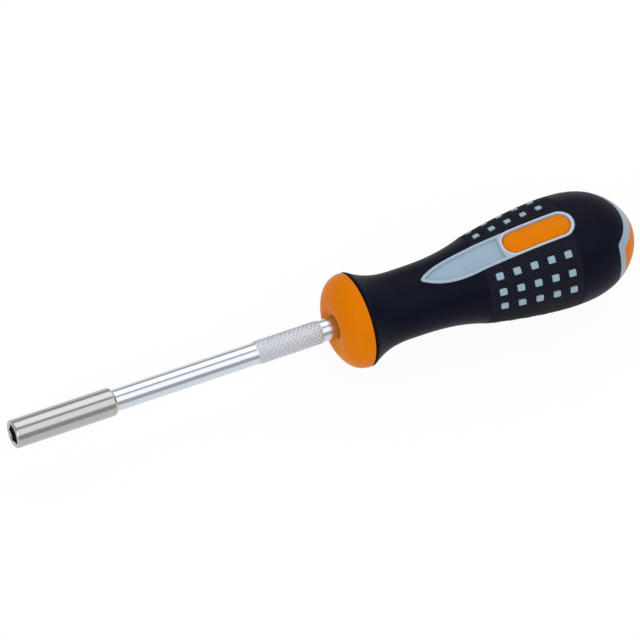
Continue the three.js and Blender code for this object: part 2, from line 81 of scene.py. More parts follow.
camera_data = bpy.data.cameras.new("camera")
camera_data.sensor_width = SENSOR_WIDTH
camera_data.lens = SENSOR_WIDTH * CAMERA_DISTANCE / VIEW_WIDTH
camera_data.clip_end = 4 * CAMERA_DISTANCE
camera = bpy.data.objects.new("camera", camera_data)
turn = Matrix((CAMERA_RIGHT, CAMERA_UP, CAMERA_BACK)).transposed().to_4x4()
camera.matrix_world = Matrix.Translation(LOOK_AT + CAMERA_BACK * CAMERA_DISTANCE) @ turn
bpy.context.scene.collection.objects.link(camera)
bpy.context.scene.camera = camera
print("lens in mm:", round(camera_data.lens))

# %% [markdown]
# ## Grids of points
# A piece is worked out as one or more grids. Each row of a grid is a closed ring of points, and
# neighbouring rows are joined by four-cornered faces. A ring that shrinks to one point, or onto a line,
# closes the piece there once its doubled points are merged. All sizes are in millimetres, counted along the
# axis from the socket's mouth.

# %% From grids to a piece
def ring_faces(rows, columns, first, wrap):
    """Corner numbers of the faces between neighbouring rings; wrap joins the last ring to the first."""
    row = np.arange(rows if wrap else rows - 1)[:, None]
    column = np.arange(columns)[None, :]
    next_row = (row + 1) % rows
    next_column = (column + 1) % columns
    corners = [row * columns + column, row * columns + next_column,
               next_row * columns + next_column, next_row * columns + column]
    return first + np.stack(np.broadcast_arrays(*corners), axis=-1).reshape(-1, 4)


def clean(mesh):
    """Merges doubled points, drops faces that have vanished and points every face outwards."""
    work = bmesh.new()
    work.from_mesh(mesh)
    bmesh.ops.remove_doubles(work, verts=work.verts, dist=0.0005 * MM)
    bmesh.ops.dissolve_degenerate(work, edges=work.edges, dist=0.0001 * MM)
    bmesh.ops.recalc_face_normals(work, faces=work.faces)
    work.to_mesh(mesh)
    work.free()


def make_piece(name, grids, nodes, wrap=False, sharp_deg=40, tint=None):
    """One mesh of several grids that stands for the named solids, smooth but for edges over sharp_deg.
    A tint gives each point of the first grid a number for its material, and 0 to all other points."""
    faces = []
    first = 0
    for grid in grids:
        faces.append(ring_faces(grid.shape[0], grid.shape[1], first, wrap))
        first += grid.shape[0] * grid.shape[1]
    points = np.concatenate([grid.reshape(-1, 3) for grid in grids]) * MM
    points[:, 0] += cad_low.x
    mesh = bpy.data.meshes.new(name)
    mesh.from_pydata(points.tolist(), [], np.concatenate(faces).tolist())
    if tint is not None:
        values = np.zeros(len(points), np.float32)
        values[:tint.size] = tint.ravel()
        mesh.attributes.new("tint", "FLOAT", "POINT").data.foreach_set("value", values)
    clean(mesh)
    mesh.shade_smooth()
    mesh.set_sharp_from_angle(angle=np.radians(sharp_deg))
    thing = bpy.data.objects.new(name, mesh)
    bpy.context.scene.collection.objects.link(thing)
    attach(thing, "root")
    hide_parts(*nodes)
    print(name, "triangles:", sum(len(face.vertices) - 2 for face in mesh.polygons))
    return thing


def around(x, angle, radius):
    """Points by distance from the mouth, angle from the label's middle towards the camera, and radius."""
    x, angle, radius = np.broadcast_arrays(x, angle, radius)
    return np.stack([x, -radius * np.sin(angle), radius * np.cos(angle)], axis=-1)


def angles(columns):
    """Even angles once round the axis, as one row."""
    return np.linspace(0, 2 * np.pi, columns, endpoint=False)[None, :]


def turned(profile, columns):
    """A turned grid: each pair of distance and radius becomes a ring."""
    x, radius = np.asarray(profile, float).T
    return around(x[:, None], angles(columns), radius[:, None])


def share(x, start, length):
    """How far x lies along a stretch, from 0 to 1."""
    return np.clip((x - start) / length, 0, 1)


def soft_step(x, start, length):
    """Rises from 0 to 1 along a stretch, level at both ends: 3 t squared minus 2 t cubed."""
    t = share(x, start, length)
    return t * t * (3 - 2 * t)


def rounded(corners, radii, steps=6):
    """A profile whose corners are rounded: each becomes a curve between points one radius either side of it,
    the weighted sum of before, corner and after with weights (1-t) squared, 2t(1-t) and t squared."""
    corners = np.asarray(corners, float)
    path = [corners[:1]]
    t = np.linspace(0, 1, steps)[:, None]
    for before, corner, after, radius in zip(corners, corners[1:], corners[2:], radii):
        back, on = before - corner, after - corner
        start = corner + back / np.linalg.norm(back) * radius
        end = corner + on / np.linalg.norm(on) * radius
        path.append((1 - t) ** 2 * start + 2 * t * (1 - t) * corner + t ** 2 * end)
    return np.concatenate([*path, corners[-1:]])


# %% [markdown]
# ## The blade
# The blade is a chromed steel rod. In front of the handle it carries a diamond knurl, which two sets of
# slanted wheels press into it. Sharp modelling of hundreds of pyramids would be slow, so the radius itself
# is a formula: the lower of two slanted triangle waves, one for each set. Two wings pressed out of the
# hidden tang stop the blade turning in the handle, and they are two soft bumps of the same radius.

# %% Blade
SHAFT_RADIUS = 3.85
SHAFT_FRONT = 12.4
SHAFT_CHAMFER = 0.6
POCKET_RADIUS = 2.8
POCKET_END = 16.1
TANG_END = 190.3
KNURL_START, KNURL_LENGTH = 90.4, 24.5
KNURL_STARTS, KNURL_PITCH = 15, 1.63
KNURL_RISE, KNURL_FALL, KNURL_FLAT = 0.36, 0.06, 0.8
KNURL_RUN_OUT = 1.0
WING_CENTRES, WING_LENGTH, WING_RISE = (142.3, 172.3), 9, 2.65
BLADE_COLUMNS = 8 * KNURL_STARTS


def triangle_wave(turns):
    """0 at whole turns and 1 half-way between them, straight in between."""
    return 2 * np.abs(turns - np.round(turns))


def knurl_height(x, angle):
    """Two slanted waves cross, their lower one makes pyramids, and the tops are cut flat."""
    round_part = KNURL_STARTS * angle / (2 * np.pi)
    along_part = (x - KNURL_START) / KNURL_PITCH
    pyramids = np.minimum(triangle_wave(along_part + round_part), triangle_wave(along_part - round_part))
    tops = np.minimum(pyramids / KNURL_FLAT, 1) * KNURL_RISE - KNURL_FALL
    run_in = soft_step(x, KNURL_START, KNURL_RUN_OUT)
    run_out = 1 - soft_step(x, KNURL_START + KNURL_LENGTH - KNURL_RUN_OUT, KNURL_RUN_OUT)
    return tops * run_in * run_out


def wing_height(x, angle):
    """Bumps across the label's plane: flat-topped along the blade, narrow round it."""
    sideways = np.abs(np.sin(angle)) ** 8
    length = sum(np.exp(-(2 * np.abs(x - centre) / WING_LENGTH) ** 6) for centre in WING_CENTRES)
    return WING_RISE * sideways * length


front = rounded(
    [(POCKET_END, 0), (POCKET_END, POCKET_RADIUS), (SHAFT_FRONT, POCKET_RADIUS),
     (SHAFT_FRONT, SHAFT_RADIUS - SHAFT_CHAMFER), (SHAFT_FRONT + SHAFT_CHAMFER, SHAFT_RADIUS),
     (SHAFT_FRONT + 2 * SHAFT_CHAMFER, SHAFT_RADIUS)], (0.05, 0.15, 0.1, 0.1))
back = [(TANG_END - SHAFT_CHAMFER, SHAFT_RADIUS), (TANG_END, SHAFT_RADIUS - SHAFT_CHAMFER), (TANG_END, 0)]
plain = np.linspace(20, KNURL_START - 1, 24)
knurled = np.arange(0, KNURL_LENGTH + KNURL_PITCH, KNURL_PITCH / 8) + KNURL_START
tang = np.linspace(knurled[-1] + 1, TANG_END - 1, 90)
straight = np.concatenate([plain, knurled, tang])
rod = np.column_stack([straight, np.full_like(straight, SHAFT_RADIUS)])
blade_profile = np.concatenate([front, rod, back])
blade_x, blade_radius = blade_profile[:, :1], blade_profile[:, 1:]
blade_turn = angles(BLADE_COLUMNS)
relief = knurl_height(blade_x, blade_turn) + wing_height(blade_x, blade_turn)
raised = np.where(blade_radius == SHAFT_RADIUS, relief, 0)
knurl_mask = ((blade_x > KNURL_START) & (blade_x < KNURL_START + KNURL_LENGTH)) + 0 * blade_turn
blade_grid = around(blade_x, blade_turn, blade_radius + raised)
blade = make_piece("blade", [blade_grid], ["blade_shaft"], tint=knurl_mask)

# %% [markdown]
# ## The bit socket
# A stainless sleeve is pressed over the blade's front end. Its hole is a hexagon for quarter inch bits,
# opened by a cone at the mouth and by a groove for the spring ring. The hole could be cut with a Boolean
# modifier, but its edge is clean at once when each ring's radius is the largest of the three: hexagon, cone
# and groove.

# %% Sleeve
sleeve_box = [np.array(corner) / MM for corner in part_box("socket_sleeve")]
SLEEVE_RADIUS = sleeve_box[1][2]
SLEEVE_LENGTH = sleeve_box[1][0] - sleeve_box[0][0]
SOCKET_DEPTH = -cad_low.x / MM
HEX_HALF_WIDTH = 3.2
MOUTH_RADIUS, MOUTH_DEPTH = 3.95, 0.6
FRONT_CHAMFER, FRONT_CHAMFER_RISE = 0.45, 0.4
BACK_CHAMFER, BACK_CHAMFER_RISE = 0.85, 0.75
GROOVE_CENTRE, GROOVE_WIDTH, GROOVE_RADIUS = 4.5, 1.0, 4.25
BORE_RADIUS = 3.95
SLEEVE_COLUMNS = 180


def hexagon_radius(angle):
    """Radius of a hexagon: its half width over the cosine of the angle from the nearest flat's middle."""
    sixth = np.pi / 3
    return HEX_HALF_WIDTH / np.cos((angle % sixth) - sixth / 2)


sleeve_turn = angles(SLEEVE_COLUMNS)
outside = rounded(
    [(SLEEVE_LENGTH, BORE_RADIUS), (SLEEVE_LENGTH, SLEEVE_RADIUS - BACK_CHAMFER_RISE),
     (SLEEVE_LENGTH - BACK_CHAMFER, SLEEVE_RADIUS), (FRONT_CHAMFER, SLEEVE_RADIUS),
     (0, SLEEVE_RADIUS - FRONT_CHAMFER_RISE), (0, MOUTH_RADIUS)], (0.12, 0.25, 0.2, 0.12))
outside_grid = np.broadcast_to(outside[:, None, :], (len(outside), SLEEVE_COLUMNS, 2))
edges = GROOVE_CENTRE + GROOVE_WIDTH / 2 * np.array([-1, 1])
hole_x = np.concatenate([np.linspace(0, 1.2, 25)[1:], [edges[0] - 0.02, edges[0] + 0.02, edges[1] - 0.02,
                                                       edges[1] + 0.02, SOCKET_DEPTH]])[:, None]
cone = MOUTH_RADIUS - (MOUTH_RADIUS - HEX_HALF_WIDTH + 0.1) * hole_x / MOUTH_DEPTH
groove = np.where(np.abs(hole_x - GROOVE_CENTRE) < GROOVE_WIDTH / 2, GROOVE_RADIUS, 0)
hole_radius = np.maximum(np.maximum(hexagon_radius(sleeve_turn), cone), groove)
hole_grid = np.stack(np.broadcast_arrays(hole_x, hole_radius), axis=-1)
bore = np.broadcast_to(np.array([[SHAFT_FRONT - 0.1, BORE_RADIUS]])[:, None, :], (1, SLEEVE_COLUMNS, 2))
sleeve_grid = np.concatenate([outside_grid, hole_grid, bore])
sleeve = make_piece(
    "sleeve", [around(sleeve_grid[..., 0], sleeve_turn, sleeve_grid[..., 1])], ["socket_sleeve"],
    wrap=True, sharp_deg=30)

# %% [markdown]
# The magnet is a short nickel-plated disc at the bottom of the socket, with a rounded rim. The spring ring
# is an open ring of wire: a circle carried along an arc, whose radius runs out to nothing at both ends to
# close it.

# %% Magnet and spring ring
MAGNET_RADIUS, MAGNET_LENGTH = 2.7, 4
magnet_profile = rounded(
    [(SOCKET_DEPTH, 0), (SOCKET_DEPTH, MAGNET_RADIUS), (SOCKET_DEPTH + MAGNET_LENGTH, MAGNET_RADIUS),
     (SOCKET_DEPTH + MAGNET_LENGTH, 0)], (0.3, 0.3))
magnet = make_piece("magnet", [turned(magnet_profile, 96)], ["socket_magnet"])

RING_RADIUS, WIRE_RADIUS, RING_OPENING = 3.75, 0.4, np.radians(60)
reach = np.sin(np.linspace(-np.pi / 2, np.pi / 2, 72))[:, None]
ring_angle = np.pi + reach * (np.pi - RING_OPENING / 2)
wire_angle = angles(16)
wire_radius = WIRE_RADIUS * np.clip((1 - np.abs(reach)) * 40, 0, 1) ** 0.5
spring_grid = around(GROOVE_CENTRE + wire_radius * np.sin(wire_angle), ring_angle,
                     RING_RADIUS + wire_radius * np.cos(wire_angle))
spring_ring = make_piece("spring_ring", [spring_grid], ["bit_retaining_ring"])

# %% [markdown]
# ## The bolster
# The orange collar in front of the skin is a dome, a little fuller than a quarter of an ellipse, turned
# about the axis. Its front is dished round the blade, and its back rim is rounded where it meets the skin,
# so that a fine dark seam shows there. A dome could be lathed from a drawn curve, but a formula keeps it
# fair at any fineness.

# %% Bolster
bolster_box = [np.array(corner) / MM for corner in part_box("front_bolster")]
SEAM_X = bolster_box[1][0] + SOCKET_DEPTH
BOLSTER_RADIUS = bolster_box[1][2]
BOLSTER_LENGTH, BOLSTER_FULLNESS = 9.9, 2.3
DISH_RADIUS, DISH_DEPTH, DISH_LIP = 8.6, 1.1, 1.8
NOSE_RADIUS, NOSE_SOCKET = 9.1, 5.3
RIM_ROUND = 0.45
LIP_ROWS = 5

power = 2 / BOLSTER_FULLNESS
dish_angle = np.arcsin((DISH_RADIUS / BOLSTER_RADIUS) ** (1 / power))
swing = np.linspace(dish_angle, np.pi / 2, 48)[:-1, None]
dome = np.concatenate(
    [SEAM_X - BOLSTER_LENGTH * np.cos(swing) ** power, BOLSTER_RADIUS * np.sin(swing) ** power], axis=1)
dome_back = dome[dome[:, 0] < SEAM_X - RIM_ROUND]
rim = rounded([dome_back[-1], (SEAM_X - 0.02, BOLSTER_RADIUS), (SEAM_X, NOSE_RADIUS)], [RIM_ROUND])[1:-1]
dish_corners = [(SEAM_X - NOSE_SOCKET, BORE_RADIUS), (dome[0, 0] + DISH_DEPTH, BORE_RADIUS), dome[0],
                dome[LIP_ROWS]]
dish = rounded(dish_corners, (0.5, DISH_LIP))[:-1]
socket = [(SEAM_X, NOSE_RADIUS), (SEAM_X - NOSE_SOCKET, NOSE_RADIUS)]
bolster_profile = np.concatenate([dish, dome_back[LIP_ROWS + 1:], rim, socket])
bolster_grid = turned(bolster_profile, 192)
bolster = make_piece("bolster", [bolster_grid], ["front_bolster"], wrap=True)

# %% [markdown]
# ## The handle's outline
# Everything behind the seam follows one outline: a neck that falls to the waist, a rise to the palm band, a
# swell to the widest place, and a dome. Each stretch is a power curve between two radii, so the skin, the
# panels, the studs and the butt all call the same function and fit each other.

# %% Outline
NECK_START, NECK_LENGTH, NECK_POWER = SEAM_X + 1, 17, 2.6
WAIST_RADIUS, WAIST_LENGTH = 12.2, 1.8
RISE_START, RISE_LENGTH, RISE_POWER = NECK_START + NECK_LENGTH + WAIST_LENGTH, 25, 2.55
BAND_START, BAND_RADIUS = RISE_START + RISE_LENGTH, 15.5
PALM_LENGTH, PALM_POWER = 31.4, 1.55
PALM_X = BAND_START + PALM_LENGTH
PALM_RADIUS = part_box("soft_grip")[1][1] / MM
BUTT_X = cad_high.x / MM + SOCKET_DEPTH
BUTT_LENGTH = BUTT_X - PALM_X
BUTT_POWER, BUTT_ROUNDING = 2.6, 0.57


def grip_radius(x):
    """Radius of the outline at a distance from the mouth, by the stretch that it lies in."""
    neck = (1 - share(x, NECK_START, NECK_LENGTH)) ** NECK_POWER
    rise = share(x, RISE_START, RISE_LENGTH) ** RISE_POWER
    swell = (1 - share(x, BAND_START, PALM_LENGTH)) ** PALM_POWER
    dome = (1 - share(x, PALM_X, BUTT_LENGTH) ** BUTT_POWER) ** BUTT_ROUNDING
    return np.select(
        [x <= RISE_START, x <= BAND_START, x <= PALM_X],
        [WAIST_RADIUS + (BOLSTER_RADIUS - WAIST_RADIUS) * neck,
         WAIST_RADIUS + (BAND_RADIUS - WAIST_RADIUS) * rise,
         PALM_RADIUS - (PALM_RADIUS - BAND_RADIUS) * swell],
        PALM_RADIUS * dome)


def dome_x(radius):
    """The dome's formula turned round: the distance from the mouth at which the dome has a radius."""
    reach = 1 - np.clip(radius / PALM_RADIUS, 0, 1) ** (1 / BUTT_ROUNDING)
    return PALM_X + BUTT_LENGTH * reach ** (1 / BUTT_POWER)


print("widest place, mm from the mouth:", round(PALM_X, 1), "radius:", round(PALM_RADIUS, 2))

# %% [markdown]
# ## The label panels
# On two opposite sides a pale leaf-shaped panel lies in the skin. Its front half is a bare sunk field with
# a rim, and its back half is a rounded frame with an oval orange inlay. A panel is worked out flat first:
# rings that shrink from the outline onto a straight spine, with a height for each point from its distances
# to the edges. The flat rings are then wrapped round the handle, so the panel keeps the handle's curve in
# both directions.

# %% Panel outline
PANEL_START, PANEL_END = SEAM_X + 23.2, SEAM_X + 80.1
PANEL_HALF = 5.2
LEAF_LENGTH, LEAF_FULLNESS, LEAF_ROUND = 19, 7, 0.9
OUTLINE_STEP = 0.22
HANDLE_LABELS = {"upper": 0.0, "lower": np.pi}


def even_path(points, spacing):
    """Points at an even spacing along a path, found by its running length."""
    run = np.concatenate([[0], np.cumsum(np.linalg.norm(np.diff(points, axis=0), axis=1))])
    even = np.linspace(0, run[-1], int(run[-1] / spacing) + 1)
    return np.column_stack([np.interp(even, run, points[:, k]) for k in range(2)])


def mirrored(half_path):
    """A closed outline from one side of it, which runs from the front end to the back end."""
    return np.concatenate([half_path, half_path[-2:0:-1] * (1, -1)])


def leaf_half():
    """One side of the leaf: a rounded point, a curve to the full width, a straight side and a round end."""
    t = np.linspace(0, 1, 60)[:, None]
    half = PANEL_HALF - LEAF_ROUND
    point = np.array([PANEL_START + LEAF_ROUND, 0])
    aim = np.array([PANEL_START + LEAF_FULLNESS, half])
    shoulder = np.array([PANEL_START + LEAF_LENGTH, half])
    curve = (1 - t) ** 2 * point + 2 * t * (1 - t) * aim + t ** 2 * shoulder
    slope = 2 * (1 - t) * (aim - point) + 2 * t * (shoulder - aim)
    outward = slope[:, ::-1] * (-1, 1) / np.linalg.norm(slope, axis=1, keepdims=True)
    first = np.arctan2(*outward[0, ::-1])
    tip_turn = np.linspace(np.pi, first, 12)[:-1, None]
    tip = point + LEAF_ROUND * np.concatenate([np.cos(tip_turn), np.sin(tip_turn)], axis=1)
    end_turn = np.linspace(np.pi / 2, 0, 40)[:, None]
    end = np.array([PANEL_END - PANEL_HALF, 0]) + PANEL_HALF * np.concatenate(
        [np.cos(end_turn), np.sin(end_turn)], axis=1)
    return np.concatenate([tip, curve + LEAF_ROUND * outward, end])


panel_outline = mirrored(even_path(leaf_half(), OUTLINE_STEP))
PANEL_SPINE = (PANEL_START + 4, PANEL_END - PANEL_HALF)
print("panel outline points:", len(panel_outline))


def inset(flat, outline):
    """Distance of flat points inside an outline: the least distance to any of its straight bits, negative
    outside it by the count of bits that a line from the point crosses."""
    a, b = outline[None], np.roll(outline, -1, axis=0)[None]
    points = flat.reshape(-1, 1, 2)
    along = np.clip(((points - a) * (b - a)).sum(-1) / ((b - a) ** 2).sum(-1), 0, 1)
    away = np.linalg.norm(points - a - along[..., None] * (b - a), axis=-1).min(axis=1)
    crossing = ((a[..., 1] > points[..., 1]) != (b[..., 1] > points[..., 1])) & (
        points[..., 0] < a[..., 0] + (b - a)[..., 0] * (points[..., 1] - a[..., 1]) / np.where(
            b[..., 1] == a[..., 1], 1, b[..., 1] - a[..., 1]))
    inside = crossing.sum(axis=1) % 2 == 1
    return np.where(inside, away, -away).reshape(flat.shape[:-1])


def rings(outline, spine, shares):
    """Copies of an outline that shrink onto its spine: share 1 is the outline and share 0 the spine."""
    foot = np.column_stack([np.clip(outline[:, 0], *spine), np.zeros(len(outline))])
    return foot + np.asarray(shares)[:, None, None] * (outline - foot)


def wrapped(flat, height, middle):
    """Flat points wrapped round the handle: across becomes an angle, and height is added to the radius."""
    radius = grip_radius(flat[..., 0])
    return around(flat[..., 0], middle + flat[..., 1] / radius, radius + height)


# %% [markdown]
# The panel's top is one height for each flat point. Steps over its distances to the edge, to the sunk field
# and to the oval carve the field, the pocket and the bead. A sculpted mesh would do as well, but a height
# changes with one number. The bead and the rim also get a painted highlight, a paler colour for the light
# that their raised edges catch, and the same function says how much.

# %% Panel heights
PANEL_PROUD, PANEL_FLOOR, PANEL_EDGE_ROUND = 0.25, -2.9, 0.35
RECESS_RIM, RECESS_DEPTH, RECESS_WALL = 1.15, 0.85, 0.15
RECESS_END, RECESS_END_HOLLOW = SEAM_X + 52.9, 0.5
OVAL_HALF, OVAL_LENGTH = 4.35, 25.1
OVAL_END = PANEL_END - 1.4
OVAL_SPINE = (OVAL_END - OVAL_LENGTH + OVAL_HALF, OVAL_END - OVAL_HALF)
POCKET_DEPTH, POCKET_WALL = 2.1, 0.16
BEAD_RISE, BEAD_WIDTH = 0.25, 0.85
# Painted highlight: how much paler the rim and the bead are drawn, for the light their raised edges catch
RIM_HIGHLIGHT_PAINT, BEAD_HIGHLIGHT_PAINT = 0.18, 0.65


def oval_inset(flat, half):
    """Distance inside a long oval: its half width less the distance to its spine."""
    foot = np.clip(flat[..., 0], *OVAL_SPINE)
    return half - np.hypot(flat[..., 0] - foot, flat[..., 1])


def edge_drop(inside, radius):
    """How far a rounded edge lies below its surface: a quarter circle over the first radius inside it."""
    short = np.clip(radius - inside, 0, radius)
    return radius - np.sqrt(radius ** 2 - short ** 2)


def panel_height(flat):
    """Rounded outer edge, sunk field with a rim, a pocket with a rounded bead round the oval, and the
    painted highlight on the rim and the bead.
    """
    edge = inset(flat, panel_outline[::3])
    field_end = RECESS_END + RECESS_END_HOLLOW * (2 * (flat[..., 1] / PANEL_HALF) ** 2 - 1)
    field = np.minimum(edge - RECESS_RIM, field_end - flat[..., 0])
    pocket = oval_inset(flat, OVAL_HALF)
    bead = np.sqrt(np.clip(1 - (2 * (-pocket) / BEAD_WIDTH - 1) ** 2, 0, 1))
    height = PANEL_PROUD - edge_drop(edge, PANEL_EDGE_ROUND)
    sunk = soft_step(field, 0, RECESS_WALL)
    height -= RECESS_DEPTH * sunk
    height += BEAD_RISE * bead * soft_step(edge, 0, PANEL_EDGE_ROUND)
    # Painted highlight on the rim and the bead, left out of the sunk field
    painted_highlight = RIM_HIGHLIGHT_PAINT * (1 - sunk) + BEAD_HIGHLIGHT_PAINT * bead
    return height - (POCKET_DEPTH + PANEL_PROUD) * soft_step(pocket, 0, POCKET_WALL), painted_highlight


PANEL_SHARES = 1 - np.concatenate([np.linspace(0, 0.1, 8)[:-1], np.linspace(0.1, 1, 40)])
panel_flat = rings(panel_outline, PANEL_SPINE, PANEL_SHARES)
panel_top, panel_painted_highlight = panel_height(panel_flat)
# The painted highlight goes to the top's rings; the two floor rings get none
panel_highlight_tint = np.concatenate([np.zeros((2, len(panel_outline))), panel_painted_highlight])


def panel_grid(middle):
    """The bottom as spine and outline at the floor's height, then the top's rings from the outline in."""
    under = rings(panel_outline, PANEL_SPINE, (0, 1))
    floor = wrapped(under, PANEL_FLOOR, middle)
    return np.concatenate([floor, wrapped(panel_flat, panel_top, middle)])


panels = [
    make_piece(f"label_panel_{half}_face", [panel_grid(middle)], [f"label_panel_{half}"],
               tint=panel_highlight_tint)
    for half, middle in HANDLE_LABELS.items()]

# %% [markdown]
# The oval inlays are orange pads that sit a little below the frame's bead. They are made the same way, with
# a rounded edge and a slight crown.

# %% Inlays
INLAY_TOP, INLAY_FLOOR, INLAY_CROWN, INLAY_ROUND = -0.3, -1.8, 0.18, 0.6
INLAY_GAP = 0.05
end_turn = np.linspace(np.pi, np.pi / 2, 24)[:, None]
inlay_half_width = OVAL_HALF - INLAY_GAP
round_end = inlay_half_width * np.concatenate([np.cos(end_turn), np.sin(end_turn)], axis=1)
inlay_half = np.concatenate([round_end + (OVAL_SPINE[0], 0), round_end[::-1] * (-1, 1) + (OVAL_SPINE[1], 0)])
inlay_outline = mirrored(even_path(inlay_half, 0.35))
inlay_flat = rings(inlay_outline, OVAL_SPINE, 1 - np.linspace(0, 1, 24) ** 1.5)
inlay_inside = oval_inset(inlay_flat, inlay_half_width)
inlay_crown = INLAY_CROWN * soft_step(inlay_inside, 0, OVAL_HALF)
inlay_top = INLAY_TOP - edge_drop(inlay_inside, INLAY_ROUND) + inlay_crown


def inlay_grid(middle):
    """Bottom spine and outline, then the crowned top."""
    floor = wrapped(rings(inlay_outline, OVAL_SPINE, (0, 1)), INLAY_FLOOR, middle)
    return np.concatenate([floor, wrapped(inlay_flat, inlay_top, middle)])


inlays = [
    make_piece(f"window_inlay_{half}_face", [inlay_grid(middle)], [f"window_inlay_{half}"])
    for half, middle in HANDLE_LABELS.items()]

# %% [markdown]
# ## The studs
# Beside each label, rows of five small pale studs come through the black skin: three rows on one side, two
# on the other. They belong to a thin insert under the skin. One stud is a rounded square made of six rings,
# and the same rings are wrapped at each place in a loop over the rows and columns.

# %% Studs
STUD_COLUMNS = 5
FIRST_ROW_ANGLE, STUD_SPREAD_ANGLE = np.radians(33.1), np.radians(20.2)
FIRST_ROW_ARC, STUD_ROW_SPACING = 9.35, 6.6
STUD_HALF_LENGTH, STUD_HALF_WIDTH, STUD_CORNER = 1.25, 1.25, 10
STUD_PROUD, STUD_EDGE, STUD_ROOT = 0.14, 0.1, -2.2
STUD_COVER = 0.97
INSERT_TOP, INSERT_MARGIN = -1.8, 0.9
# Each field: side of the label, place of the first column, pitch of the columns, count of rows, stud size
STUD_FIELDS = {"a": (1, SEAM_X + 48.85, 6.2, 3, 1.0), "b": (-1, SEAM_X + 48.0, 5.95, 2, 0.85)}


def rounded_square(half_length, half_width, power, count):
    """A square with rounded corners: cosine and sine over the root of their summed powers."""
    turn = np.linspace(0, 2 * np.pi, count, endpoint=False) + np.pi / count
    size = (np.abs(np.cos(turn)) ** power + np.abs(np.sin(turn)) ** power) ** (-1 / power)
    return np.column_stack([half_length * size * np.cos(turn), half_width * size * np.sin(turn)])


stud_outline = rounded_square(STUD_HALF_LENGTH, STUD_HALF_WIDTH, STUD_CORNER, 28)
stud_shares = np.array([0, 1, 1, 1 - STUD_EDGE / 3, 1 - STUD_EDGE, 0])
stud_heights = np.array([STUD_ROOT, STUD_ROOT, STUD_PROUD - STUD_EDGE, STUD_PROUD - STUD_EDGE / 3, STUD_PROUD,
                         STUD_PROUD + 0.03])
stud_flat = stud_shares[:, None, None] * stud_outline


def stud_grid(x, angle, size):
    """The stud's rings wrapped about a place on the handle."""
    return wrapped(stud_flat * size + (x, 0), stud_heights[:, None], angle)


def row_angle(side, row, x):
    """A row's angle from the label's middle. On side a the rows fan out at even angles. On side b they close
    up a little as the handle swells: an arc over the root of the band's radius times the radius there."""
    fanned = FIRST_ROW_ANGLE + row * STUD_SPREAD_ANGLE
    spaced = (FIRST_ROW_ARC + row * STUD_ROW_SPACING) / np.sqrt(BAND_RADIUS * grip_radius(x))
    return fanned if side > 0 else -spaced


def insert_grid(side, first_x, pitch, row_count, size, middle):
    """The insert's thin plate under the skin, as rings of a rounded square that spans all the studs."""
    x_middle = first_x + (STUD_COLUMNS - 1) * pitch / 2
    radius = grip_radius(np.array(x_middle))
    rows = [row_angle(side, row, np.array(x_middle)) for row in (0, row_count - 1)]
    half_length = (STUD_COLUMNS - 1) * pitch / 2 + STUD_HALF_LENGTH + INSERT_MARGIN
    half_width = abs(rows[1] - rows[0]) * radius / 2 + STUD_HALF_WIDTH + INSERT_MARGIN
    outline = rounded_square(half_length, half_width, 16, 96)
    shares = np.concatenate([np.linspace(0, 1, 8), np.linspace(1, 0, 8)])
    heights = np.where(np.arange(16) < 8, PANEL_FLOOR, INSERT_TOP)
    x = x_middle + shares[:, None] * outline[:, 0]
    angle = middle + sum(rows) / 2 + shares[:, None] * outline[:, 1] / radius
    return around(x, angle, grip_radius(x) + heights[:, None])


def stud_places(side, first_x, pitch, row_count, size, middle):
    """Distance, angle and size of each stud of a field, column by column."""
    columns = first_x + pitch * np.arange(STUD_COLUMNS)
    return [(x, middle + row_angle(side, row, x), size) for x in columns for row in range(row_count)]


def stud_field(*field):
    """The insert's plate and its studs."""
    return [insert_grid(*field)] + [stud_grid(*place) for place in stud_places(*field)]


stud_pieces = [
    make_piece(f"studs_{half}_{letter}", stud_field(*field, middle), [f"stud_insert_{half}_{letter}"])
    for half, middle in HANDLE_LABELS.items() for letter, field in STUD_FIELDS.items()]

# %% [markdown]
# ## The black skin
# The soft skin is moulded over the core from the bolster to the butt. Its palm band carries a fine diamond
# texture. It is one grid that runs along the outside, turns in at the butt and comes back along the core,
# so it closes on itself. The texture is the lower of two slanted triangle waves, as on the blade, and the
# grid has four points for each wave, so every small pyramid is real. Under the panels and studs the skin dips
# out of their way.

# %% Butt outlines
RING_EDGE_RADIUS, RING_EDGE_FLAT, RING_EDGE_SHARPNESS = 16.4, 12.25, 60
CAP_EDGE_RADIUS, CAP_EDGE_FLAT, CAP_EDGE_SHARPNESS = 14.8, 9.5, 50
CAP_EDGE_HOLLOW, CAP_HOLLOW_NARROWNESS = 1.4, 1.5
BUTT_FLOOR_X = PALM_X + 14.8
SKIN_THICKNESS = 2.9
SKIN_COLUMNS = 288


def lower_of(a_inverse, b_inverse, sharpness):
    """The lower of two sizes, given one over each, with the corner between them rounded: the higher the
    sharpness, the tighter the corner."""
    return (a_inverse ** sharpness + b_inverse ** sharpness) ** (-1 / sharpness)


def ring_edge(angle):
    """Seen from behind, the pale ring's outer edge is a circle cut by two flats, above and below."""
    return lower_of(np.full_like(angle, 1 / RING_EDGE_RADIUS), np.abs(np.cos(angle)) / RING_EDGE_FLAT,
                    RING_EDGE_SHARPNESS)


def cap_edge(angle):
    """The cap's edge is alike, with softer corners and flats that are a little hollow in the middle."""
    sideways = np.tan(np.clip(np.arcsin(np.abs(np.sin(angle))), 0, 1.5))
    flat = CAP_EDGE_FLAT - CAP_EDGE_HOLLOW / (1 + (CAP_HOLLOW_NARROWNESS * sideways) ** 2)
    return lower_of(np.full_like(angle, 1 / CAP_EDGE_RADIUS), np.abs(np.cos(angle)) / flat,
                    CAP_EDGE_SHARPNESS)


